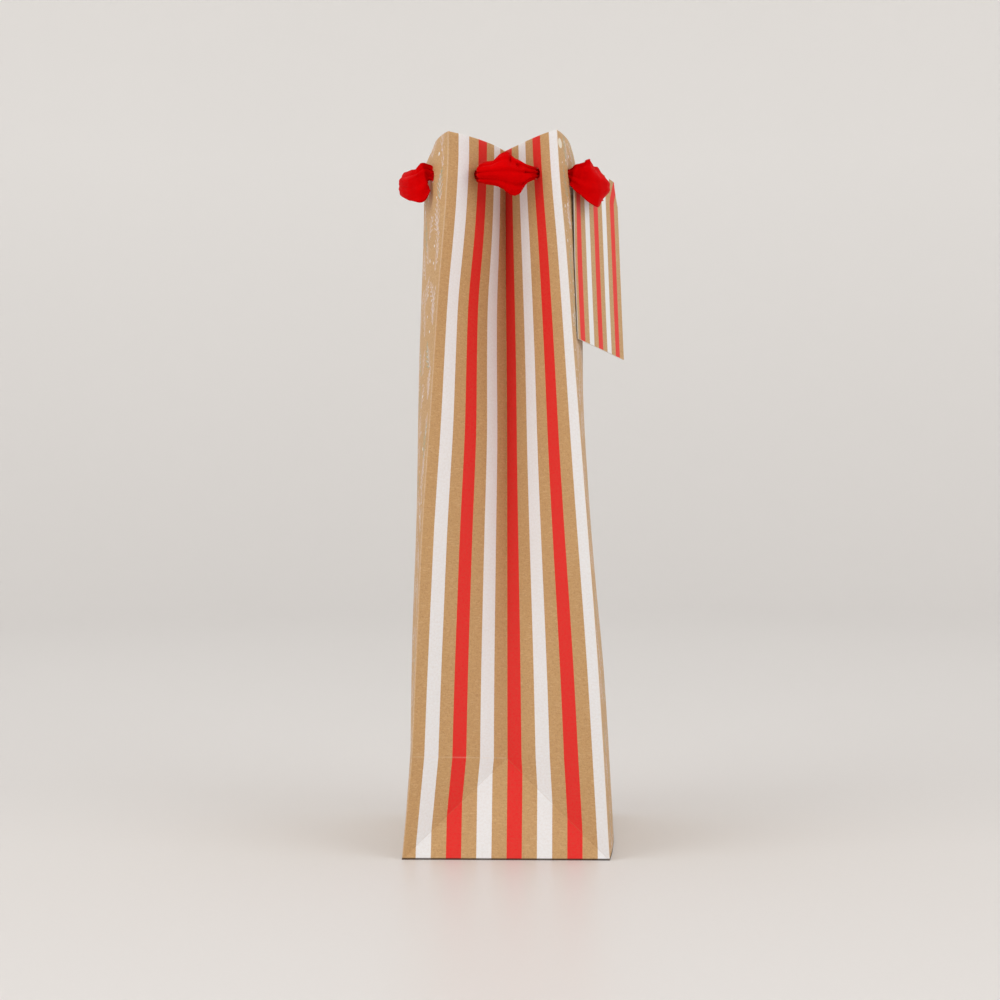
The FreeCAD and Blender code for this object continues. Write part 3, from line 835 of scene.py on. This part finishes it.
# --- the bag --------------------------------------------------------------------------
gusset_nodes = ("gusset_front_half", "gusset_back_half", "gusset_foot", "front_wing",
                "back_wing", "front_hem", "back_hem")
for hand, material in (("left", M_STRIPE_L), ("right", M_STRIPE_R)):
    piece = paper_wall(hand, f"{hand}_gusset_paper", material, M_BARE)
    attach(piece, "bag")
    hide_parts(*[f"{hand}_{node}" for node in gusset_nodes])
for side, material in (("front", M_PRINT_F), ("back", M_PRINT_B)):
    piece = paper_wall(side, f"{side}_panel_paper", material, M_BARE)
    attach(piece, "bag")
    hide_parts(f"{side}_panel", f"{side}_hem")


def lining(wall, name, material, holes, s_from, s_to, v_from, v_to, inset, thick):
    """A strip of card or paper lying against the inside of a wall."""
    step = (s_to - s_from) / round((s_to - s_from) / LINING_STEP)
    s_list = np.arange(s_from, s_to + 0.01, step)
    v_list = np.linspace(v_from, v_to, int(round((v_to - v_from) / LINING_STEP)) + 1)
    cells = {(i, j) for i in range(len(v_list) - 1) for j in range(len(s_list) - 1)}
    moved = opened(cells, holes, v_list, s_list)
    near, far = [], []
    for i, v in enumerate(v_list):
        for j, s in enumerate(s_list):
            a, b = moved.get((i, j), (s, v))
            spot = sample(wall, a, b)
            step = sample(wall, a, b, INWARD)
            near.append(spot + step * inset)
            far.append(spot + step * (inset + thick))
    return shell(name, near, far, quads(sorted(cells), len(s_list)), [material])[0]


for side in ("front", "back"):
    piece = lining(side, f"{side}_top_board", M_CARD, HOLES[side], s_from=3.5,
                   s_to=FRONT - 3.5, v_from=HEIGHT - 35, v_to=HEIGHT - 1.2,
                   inset=PAPER + 0.1, thick=0.6)
    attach(piece, "bag")
    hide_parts(f"{side}_top_card")
# The back panel runs from +X to -X, so the glued seam beside the right corner is at
# its start.
piece = lining("back", "glued_seam", M_BARE, [], s_from=1.2, s_to=16.0, v_from=2.5,
               v_to=HEIGHT - HEM - 2, inset=PAPER + 0.05, thick=0.25)
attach(piece, "bag")
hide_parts("side_seam_flap")

# The bottom's CAD solids keep their shapes.
looks = {f"bottom_{part}_flap": M_BARE for part in ("front", "back", "left", "right")}
looks["base_board"] = M_CARD
for node, material in looks.items():
    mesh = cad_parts[node].data
    mesh.materials.clear()
    mesh.materials.append(material)


# --- the ribbon -----------------------------------------------------------------------
def through(points, count, ease=0.6):
    """Points evenly spaced in number along a curve through rows of numbers."""
    pts = np.array(points, float)
    n = len(pts)
    tangent = np.zeros_like(pts)
    tangent[1:-1] = (pts[2:] - pts[:-2]) / 2
    tangent[0] = pts[1] - pts[0]
    tangent[-1] = pts[-1] - pts[-2]
    tangent *= ease
    out = []
    for u in np.linspace(0, n - 1 - 1e-9, count):
        k = int(u)
        out.append(hermite(pts[k], pts[k + 1], tangent[k], tangent[k + 1], u - k))
    return np.array(out)


def kink(x):
    """A wave with crisp folds."""
    return np.arcsin(0.97 * np.sin(x)) * 2 / math.pi


def scrunched(name, stations, seed, out=1, folds=3.0, rows=70, cols=61, crush=1.0,
              dents=()):
    """A run of satin ribbon, gathered at its ends and spread between them.

    Each station is (x, y, z, up, down, curl_up, curl_down, pleat): a point of the run,
    how far the ribbon stands above and below it, how far its upper and lower edges
    curl back towards the bag, and how deep its pleats are there.  Each dent is
    (along, across, length, width, depth), the first four in shares of the ribbon."""
    line = through(stations, rows)
    path = line[:, :3]
    up, down, curl_up, curl_down, pleat = (line[:, k] for k in range(3, 8))
    along = np.gradient(path, axis=0)
    along /= np.linalg.norm(along, axis=1, keepdims=True)
    rng = np.random.default_rng(seed)
    waves = [(rng.uniform(5.0, 15.0), rng.uniform(-3.4, 3.4), rng.uniform(0, 6.28),
              rng.uniform(0.5, 1.0)) for _ in range(6)]
    phase = rng.uniform(0, 6.28, 3)
    verts, coords = [], []
    length = np.concatenate([[0], np.cumsum(np.linalg.norm(np.diff(path, axis=0), axis=1))])
    w = np.linspace(-1, 1, cols)
    for i in range(rows):
        t = along[i]
        side = np.cross(UP, t)
        side /= max(np.linalg.norm(side), 1e-6)
        tall = np.cross(t, side)
        u = i / (rows - 1)
        lean = np.where(w > 0, up[i], down[i])
        height = lean * np.abs(w) ** 0.9 * np.sign(w)
        # The edges curl back from here on, as a share of the half width.
        fold = 0.30 + 0.10 * math.sin(5.0 * u + phase[2])
        bend = np.sqrt((np.abs(w) - fold) ** 2 + 0.008) + np.abs(w) - fold
        depth = -np.where(w > 0, curl_up[i], curl_down[i]) * bend / (2 - 2 * fold)
        # Long pleats of two widths, which drift across as they run along.
        ridge = (
            0.66 * kink(math.pi * folds * w + phase[0] + 1.3 * u)
            + 0.34 * kink(math.pi * folds * 1.7 * w + phase[1] - 2.1 * u)
        )
        crumple = sum(a * kink(f * u + g * w + q) for f, g, q, a in waves) / 6
        spread = min(1.0, (up[i] + down[i]) / 14.0)
        depth = depth + pleat[i] * ridge + 2.4 * crush * spread * crumple
        height = height + 0.35 * pleat[i] * np.cos(math.pi * folds * w + phase[2])
        height = height + 0.7 * crush * spread * kink(9.0 * u + phase[1]) * np.abs(w)
        for du, dw, su, sw, deep in dents:
            depth = depth - deep * np.exp(-(((u - du) / su) ** 2) - ((w - dw) / sw) ** 2)
        for k in range(cols):
            verts.append(path[i] + tall * height[k] + side * (out * depth[k]))
            coords.append((RIBBON * (w[k] + 1) / 2, length[i], 0.0))
    faces = quads([(i, j) for i in range(rows - 1) for j in range(cols - 1)], cols)
    piece = make_mesh(name, verts, faces, [M_SATIN], None, coords)
    solid = piece.modifiers.new("thickness", "SOLIDIFY")
    solid.thickness = RIBBON_T * MM
    solid.offset = 0.0
    return piece, length[-1] * MM


def hole_point(wall, n):
    return sample(wall, *HOLES[wall][n])


def satin(name, stations, seed, body, node, against, with_pieces=(), root=None, **more):
    """A run of ribbon.  When root is given, the run is left unattached, with its shape
    baked into world space; the points in root are not used."""
    piece, length = scrunched(name, stations, seed, **more)
    if root:
        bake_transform(piece)
    else:
        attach(piece, body)
    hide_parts(node)
    return piece


def p(point, *more):
    """A station of a run at a point."""
    return (*point, *more)


# Left and right: a short loop over each gusset's fold.
lb, lf = hole_point("left", 0), hole_point("left", 1)
side_loop = [
    p(lb + (0.6, -0.4, 0), 2.4, 2.4, 0.4, 0.4, 1.2),
    p(lb + (-2.2, 0.3, 0), 4.0, 4.0, 1.0, 1.0, 1.0),
    (-56.2, 12.7, 335.5, 4.9, 4.8, 3.4, 3.2, 0.9),
    (-58.4, 10.2, 335.4, 5.5, 5.5, 4.4, 4.0, 0.6),
    (-60.0, 6.2, 335.3, 6.1, 6.0, 4.8, 4.6, 0.45),
    (-61.0, 2.8, 335.3, 8.9, 6.9, 4.6, 4.4, 0.45),
    (-61.6, -0.8, 335.3, 10.3, 8.4, 4.6, 4.4, 0.5),
    (-61.4, -4.0, 335.2, 9.8, 9.8, 4.4, 4.4, 0.55),
    (-60.2, -7.4, 335.2, 7.8, 10.8, 4.2, 4.2, 0.7),
    (-58.4, -10.4, 335.2, 6.4, 9.6, 3.4, 3.6, 0.95),
    (-56.2, -12.9, 335.3, 4.6, 5.0, 2.4, 2.4, 1.2),
    p(lf + (-2.0, 0.2, 0), 2.8, 2.8, 0.8, 0.8, 1.1),
    p(lf + (0.4, 0.8, 0), 2.0, 2.0, 0.3, 0.3, 1.2),
]
side_dents = [(0.70, 0.45, 0.035, 0.24, 2.4), (0.59, 0.66, 0.025, 0.30, 1.8),
              (0.80, 0.10, 0.04, 0.12, 1.8), (0.10, 0.0, 0.05, 0.5, 0.8)]
for hand, sign, seed in (("left", -1, 5), ("right", 1, 8)):
    stations = [(-sign * x, y, *rest) for x, y, *rest in side_loop]
    satin(f"{hand}_ribbon_loop", stations, seed, f"{hand}_loop", f"{hand}_ribbon",
          f"{hand}_gusset_paper", out=sign, folds=4.0, crush=0.55, dents=side_dents,
          root=((sign * 53.6, 0, 335.5), (sign * 58.4, 0, 335.5)))

# Back: one long loop across the panel.
bl, br = hole_point("back", 1), hole_point("back", 0)
back_loop = [
    p(bl + (0, -0.8, 0), 2.2, 2.2, 0.4, 0.4, 1.1),
    p(bl + (-0.5, 1.8, 0.9), 5.0, 3.8, 0.6, 0.6, 0.7),
    (-43.6, 39.4, 336.6, 6.2, 8.0, 0.6, 0.3, 0.5),
    (-42.0, 43.4, 335.0, 5.2, 12.4, 1.4, 0.4, 0.4),
    (-37.6, 47.6, 333.8, 6.4, 9.4, 2.2, 0.6, 0.3),
    (-30.2, 51.4, 334.0, 6.0, 6.8, 2.4, 0.3, 0.3),
    (-21.0, 53.9, 335.6, 5.0, 5.8, 2.2, 0.3, 0.3),
    (-7.0, 54.1, 337.4, 5.2, 5.6, 3.0, 2.4, 0.5),
    (8.0, 53.4, 339.2, 6.4, 6.8, 3.8, 4.2, 1.0),
    (22.0, 50.8, 340.2, 7.4, 7.4, 4.0, 4.2, 1.4),
    (33.5, 46.8, 339.8, 7.6, 7.4, 3.8, 3.8, 1.5),
    (40.6, 41.4, 337.8, 5.6, 5.4, 2.0, 2.0, 0.9),
    p(br + (0.6, 3.0, 0.4), 3.4, 3.4, 0.8, 0.8, 1.0),
    p(br + (0, -0.8, 0), 2.2, 2.2, 0.4, 0.4, 1.1),
]
satin("back_ribbon_loop", back_loop, 3, "back_loop", "back_ribbon",
      "back_panel_paper", rows=120, crush=0.6,
      root=((0, 37.5, 336), (0, 48.0, 336)))

# Front: one run in front of the tag into its hole, the other from behind it.
fl, fr = hole_point("front", 0), hole_point("front", 1)
PINCH = np.array([-4.0, -45.104, 331.6])  # where the ribbon goes through the tag
FRONT_ROOT = ((0, -34.0, 336), (0, -43.0, 336))
near_run = [
    p(fl + (0, 0.8, 0), 2.4, 2.4, 0.4, 0.4, 1.1),
    p(fl + (-0.6, -0.8, -0.4), 3.8, 3.5, 0.5, 0.5, 0.8),
    (-45.0, -34.2, 335.0, 6.4, 4.8, 0.6, 0.5, 0.5),
    (-44.4, -38.2, 333.4, 9.6, 6.9, 1.0, 0.6, 0.4),
    (-42.4, -42.8, 332.7, 11.6, 10.0, 2.4, 0.9, 0.35),
    (-37.2, -47.6, 332.3, 9.4, 11.3, 4.2, 1.6, 0.3),
    (-29.8, -51.4, 332.2, 9.8, 8.8, 5.0, 4.4, 0.3),
    (-22.0, -52.8, 332.6, 7.4, 7.4, 5.2, 5.4, 0.35),
    (-14.0, -50.6, 332.0, 5.6, 5.6, 2.4, 2.2, 0.9),
    (-8.4, -48.0, 331.7, 3.2, 3.4, 0.8, 0.8, 0.9),
    p(PINCH + (-0.8, -1.8, 0.0), 2.0, 2.0, 0.3, 0.3, 1.0),
]
far_run = [
    p(PINCH + (0.6, 1.6, 0.0), 2.0, 2.0, 0.3, 0.3, 1.0),
    p(PINCH + (4.4, 3.3, 0.1), 3.6, 3.6, 0.6, 0.6, 0.8),
    p(PINCH + (11.5, 3.0, 0.5), 7.0, 6.6, 3.0, 3.0, 0.8),
    p(PINCH + (20.0, 2.6, 1.2), 9.0, 8.6, 3.6, 3.6, 0.6),
    p(PINCH + (30.0, 3.2, 2.3), 9.0, 9.0, 3.6, 3.6, 0.6),
    p(PINCH + (39.0, 6.2, 3.4), 7.4, 7.4, 3.0, 3.0, 0.8),
    p(fr + (2.2, -6.4, -0.5), 5.2, 5.2, 1.2, 1.2, 0.7),
    p(fr + (0.8, -2.6, 0.0), 3.4, 3.4, 0.8, 0.8, 0.9),
    p(fr + (0, 0.8, 0), 2.2, 2.2, 0.4, 0.4, 1.1),
]
satin("front_ribbon_far_run", far_run, 21, "front_loop", "front_ribbon_far",
      "front_panel_paper", out=-1, rows=100, crush=0.6, root=FRONT_ROOT)
hanger = [
    p(PINCH + (-1.0, -2.7, 0.1), 2.3, 2.3, 0.3, 0.3, 1.0),
    p(PINCH + (-0.4, -1.2, 0.0), 2.0, 2.0, 0.3, 0.3, 1.0),
    p(PINCH + (0.2, 0.6, 0.0), 2.0, 2.0, 0.3, 0.3, 1.0),
    p(PINCH + (0.8, 2.5, 0.0), 2.3, 2.3, 0.3, 0.3, 1.0),
]
knot, _ = scrunched("tag_ribbon_knot", hanger, 31, out=-1, rows=24, crush=0.0)
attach(knot, "tag_hanger")
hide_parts("tag_pinch")
satin("front_ribbon_near_run", near_run, 14, "front_loop", "front_ribbon_near",
      "front_panel_paper", [knot], out=-1, rows=110, crush=0.6,
      root=FRONT_ROOT)

# Inside, the gathered ribbon goes round each corner from hole to hole.
for hand in ("left", "right"):
    for side in ("front", "back"):
        # One wall's last hole and the next wall's first one, going round the bag.
        n_side = int((hand == "left") == (side == "front"))
        n_panel = 1 - n_side
        a = hole_point(side, n_panel)
        da = sample(side, *HOLES[side][n_panel], INWARD)
        b = hole_point(hand, n_side)
        db = sample(hand, *HOLES[hand][n_side], INWARD)
        mid = (a + b) / 2 + (da + db) * 2.6
        knotted = (side, hand) == ("back", "right")
        fat, pleat = (5.2, 1.7) if knotted else (3.0, 1.5)
        run = [
            p(a - da * 0.4, 2.2, 2.2, 0.3, 0.3, 1.2),
            p(a + da * 3.6 + (b - a) * 0.10, 2.8, 2.8, 0.4, 0.4, 1.4),
            p(mid, fat, fat, fat * 0.3, fat * 0.3, pleat),
            p(b + db * 3.6 + (a - b) * 0.10, 2.8, 2.8, 0.4, 0.4, 1.4),
            p(b - db * 0.4, 2.2, 2.2, 0.3, 0.3, 1.2),
        ]
        satin(f"inner_{side}_{hand}_ribbon", run, 40 + n_side, "bag",
              f"inner_ribbon_{side}_{hand}", f"{side}_panel_paper", rows=50, cols=91,
              folds=4.0, crush=0.0)

# --- the tag --------------------------------------------------------------------------
TAG_W, TAG_H, TAG_T = 77.5, 92.0, 0.5
TAG_CLIP_W, TAG_CLIP_H = 14.0, 10.0
TAG_DROP, TAG_HOLE = 11.0, 4.2
# How far its clipped top, its middle and its near shoulder stand out from flat.
TAG_CURL, TAG_BOW, TAG_SHOULDER = 2.5, 0.15, 2.4
yaw, lean, roll = math.radians(17.4), math.radians(4.0), math.radians(5.3)
level = np.array([math.cos(yaw), -math.sin(yaw), 0.0])
outwards = np.array([-math.sin(yaw), -math.cos(yaw), 0.0])
plumb = UP * math.cos(lean) - outwards * math.sin(lean)
tag_x = level * math.cos(roll) - plumb * math.sin(roll)
tag_y = plumb * math.cos(roll) + level * math.sin(roll)
tag_n = np.cross(tag_x, tag_y)


def gift_tag():
    """The card: a fine grid cut to its outline, bowed a little, curled at its top and
    lifted at its near shoulder, which clears the panel when the tag swings out."""
    half = TAG_W / 2
    top, low = TAG_DROP, TAG_DROP - TAG_H
    clip = top - TAG_CLIP_H
    xs = np.linspace(-half, half, 47)
    ys = np.concatenate([np.linspace(low, clip, 45), np.linspace(clip, top, 6)[1:]])
    cols = len(xs)
    spots = {}
    for i, y in enumerate(ys):
        room = half
        if y > clip:
            room = half - TAG_CLIP_W * (y - clip) / TAG_CLIP_H
        for j, x in enumerate(xs):
            spots[i, j] = (x * room / half, y)
    cells = {(i, j) for i in range(len(ys) - 1) for j in range(cols - 1)}
    row = int(np.argmin(np.abs(ys)))
    spots.update(cut_hole(cells, row, cols // 2, 2, (0.0, 0.0), TAG_HOLE))
    face_side, back_side, coords = [], [], []
    for i in range(len(ys)):
        for j in range(cols):
            x, y = spots[i, j]
            curl = (max(0.0, y - top + TAG_CLIP_H) / TAG_CLIP_H) ** 1.2
            bow = (1 - (x / half) ** 2) + math.sin((y + 30) / 26)
            shoulder = max(0.0, -x / half - 0.6) * max(0.0, 1 + y / 40)
            base = PINCH + tag_x * x + tag_y * y
            lift = TAG_CURL * curl + TAG_BOW * bow + TAG_SHOULDER * shoulder
            face_side.append(base + tag_n * (lift + TAG_T / 2))
            back_side.append(base + tag_n * (lift - TAG_T / 2))
            coords.append((x + half, y - low, 0.0))
    piece, rim_edges = shell("striped_gift_tag", face_side, back_side,
                             quads(sorted(cells), cols), [M_TAG, M_TAG_CORE],
                             coords + coords)
    sharpen(piece, rim_edges)
    return piece


piece = gift_tag()
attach(piece, "tag")
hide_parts("gift_tag")


# --- floor, light and camera ----------------------------------------------------------
def backdrop():
    """A pale floor that sweeps up into a pale wall all round."""
    n = Nodes("pale_sweep")
    spot = n.object_mm()
    cloud = n.noise(spot, 0.002, 2.0)
    grain = n.noise(spot, 0.4, 2.0)
    # Painted light: the colour grows paler up the sweep, to even out the brightness between
    # floor and wall.
    painted_wall_light = n.ramp(n.split(spot)[2], 20.0, 700.0)
    colour = n.mix(painted_wall_light, (0.725, 0.705, 0.69), (0.84, 0.825, 0.81))
    colour = n.mix(n.ramp(cloud, 0.3, 0.7, 0.0, 0.03), colour, (0.6, 0.59, 0.58))
    n.fill(n.shader, Base_Color=colour, Roughness=n.ramp(grain, 0.0, 1.0, 0.36, 0.46),
           Specular_IOR_Level=0.25)
    floor, sweep, wall_top, turns = 1400, 1100, 1500, 72
    profile = [(400, 0), (floor, 0)]
    for k in range(1, 17):
        turn = math.pi / 2 * k / 16
        profile.append((floor + sweep * math.sin(turn), sweep - sweep * math.cos(turn)))
    profile.append((floor + sweep, wall_top))
    verts, faces = [(0, 0, 0)], []
    for r, z in profile:
        for k in range(turns):
            angle = 2 * math.pi * k / turns
            verts.append((r * math.cos(angle), r * math.sin(angle), z))
    for k in range(turns):
        after = (k + 1) % turns
        faces.append((0, 1 + k, 1 + after))
        for ring in range(len(profile) - 1):
            a, b = 1 + ring * turns, 1 + (ring + 1) * turns
            faces.append((a + k, b + k, b + after, a + after))
    piece = make_mesh("studio_sweep", verts, faces, [n.material])


backdrop()


def area_light(name, place, power):
    """A large, slightly warm lamp that shines at the bag's middle."""
    lamp = bpy.data.lights.new(name, "AREA")
    lamp.shape = "RECTANGLE"
    lamp.size = lamp.size_y = 1.3
    lamp.energy = power
    lamp.color = (1.0, 0.985, 0.97)
    thing = bpy.data.objects.new(name, lamp)
    thing.location = place
    towards = Vector((0, 0, 0.2)) - Vector(place)
    thing.rotation_euler = towards.to_track_quat("-Z", "Y").to_euler()
    bpy.context.scene.collection.objects.link(thing)


area_light("key_left", (-1.0, 1.3, 0.9), 9.5)
area_light("key_right", (-1.0, -1.4, 0.9), 8.5)
world = bpy.data.worlds.new("studio")
world.use_nodes = True
sky = world.node_tree.nodes["Background"].inputs
sky["Color"].default_value = (1.0, 0.985, 0.965, 1)
sky["Strength"].default_value = 0.9
bpy.context.scene.world = world
bpy.context.scene.view_settings.view_transform = "Standard"

# The camera stands about a metre in front of the left gusset, a little above
# half the bag's height.
PSI, PITCH, ROLL = math.radians(2.5), math.radians(1.327), math.radians(-0.265)
STAND_OFF, ASIDE, EYE = 1031.084, -4.657, 198.3
FOCAL_PX, SENSOR = 1990.8, 36.0
fwd = np.array([math.cos(PSI), math.sin(PSI), 0.0])
right = np.array([math.sin(PSI), -math.cos(PSI), 0.0])
place = -fwd * STAND_OFF + right * ASIDE + UP * EYE
look = fwd * math.cos(PITCH) - UP * math.sin(PITCH)
over = UP * math.cos(PITCH) + fwd * math.sin(PITCH)
x_axis = right * math.cos(ROLL) + over * math.sin(ROLL)
y_axis = over * math.cos(ROLL) - right * math.sin(ROLL)
camera_data = bpy.data.cameras.new("camera")
camera_data.sensor_width = SENSOR
camera_data.lens = FOCAL_PX * SENSOR / 1000
camera_data.clip_end = 50
camera = bpy.data.objects.new("camera", camera_data)
basis = np.eye(4)
basis[:3, 0], basis[:3, 1], basis[:3, 2] = x_axis, y_axis, -look
basis[:3, 3] = place * MM
camera.matrix_world = Matrix(basis.tolist())
bpy.context.scene.collection.objects.link(camera)
bpy.context.scene.camera = camera
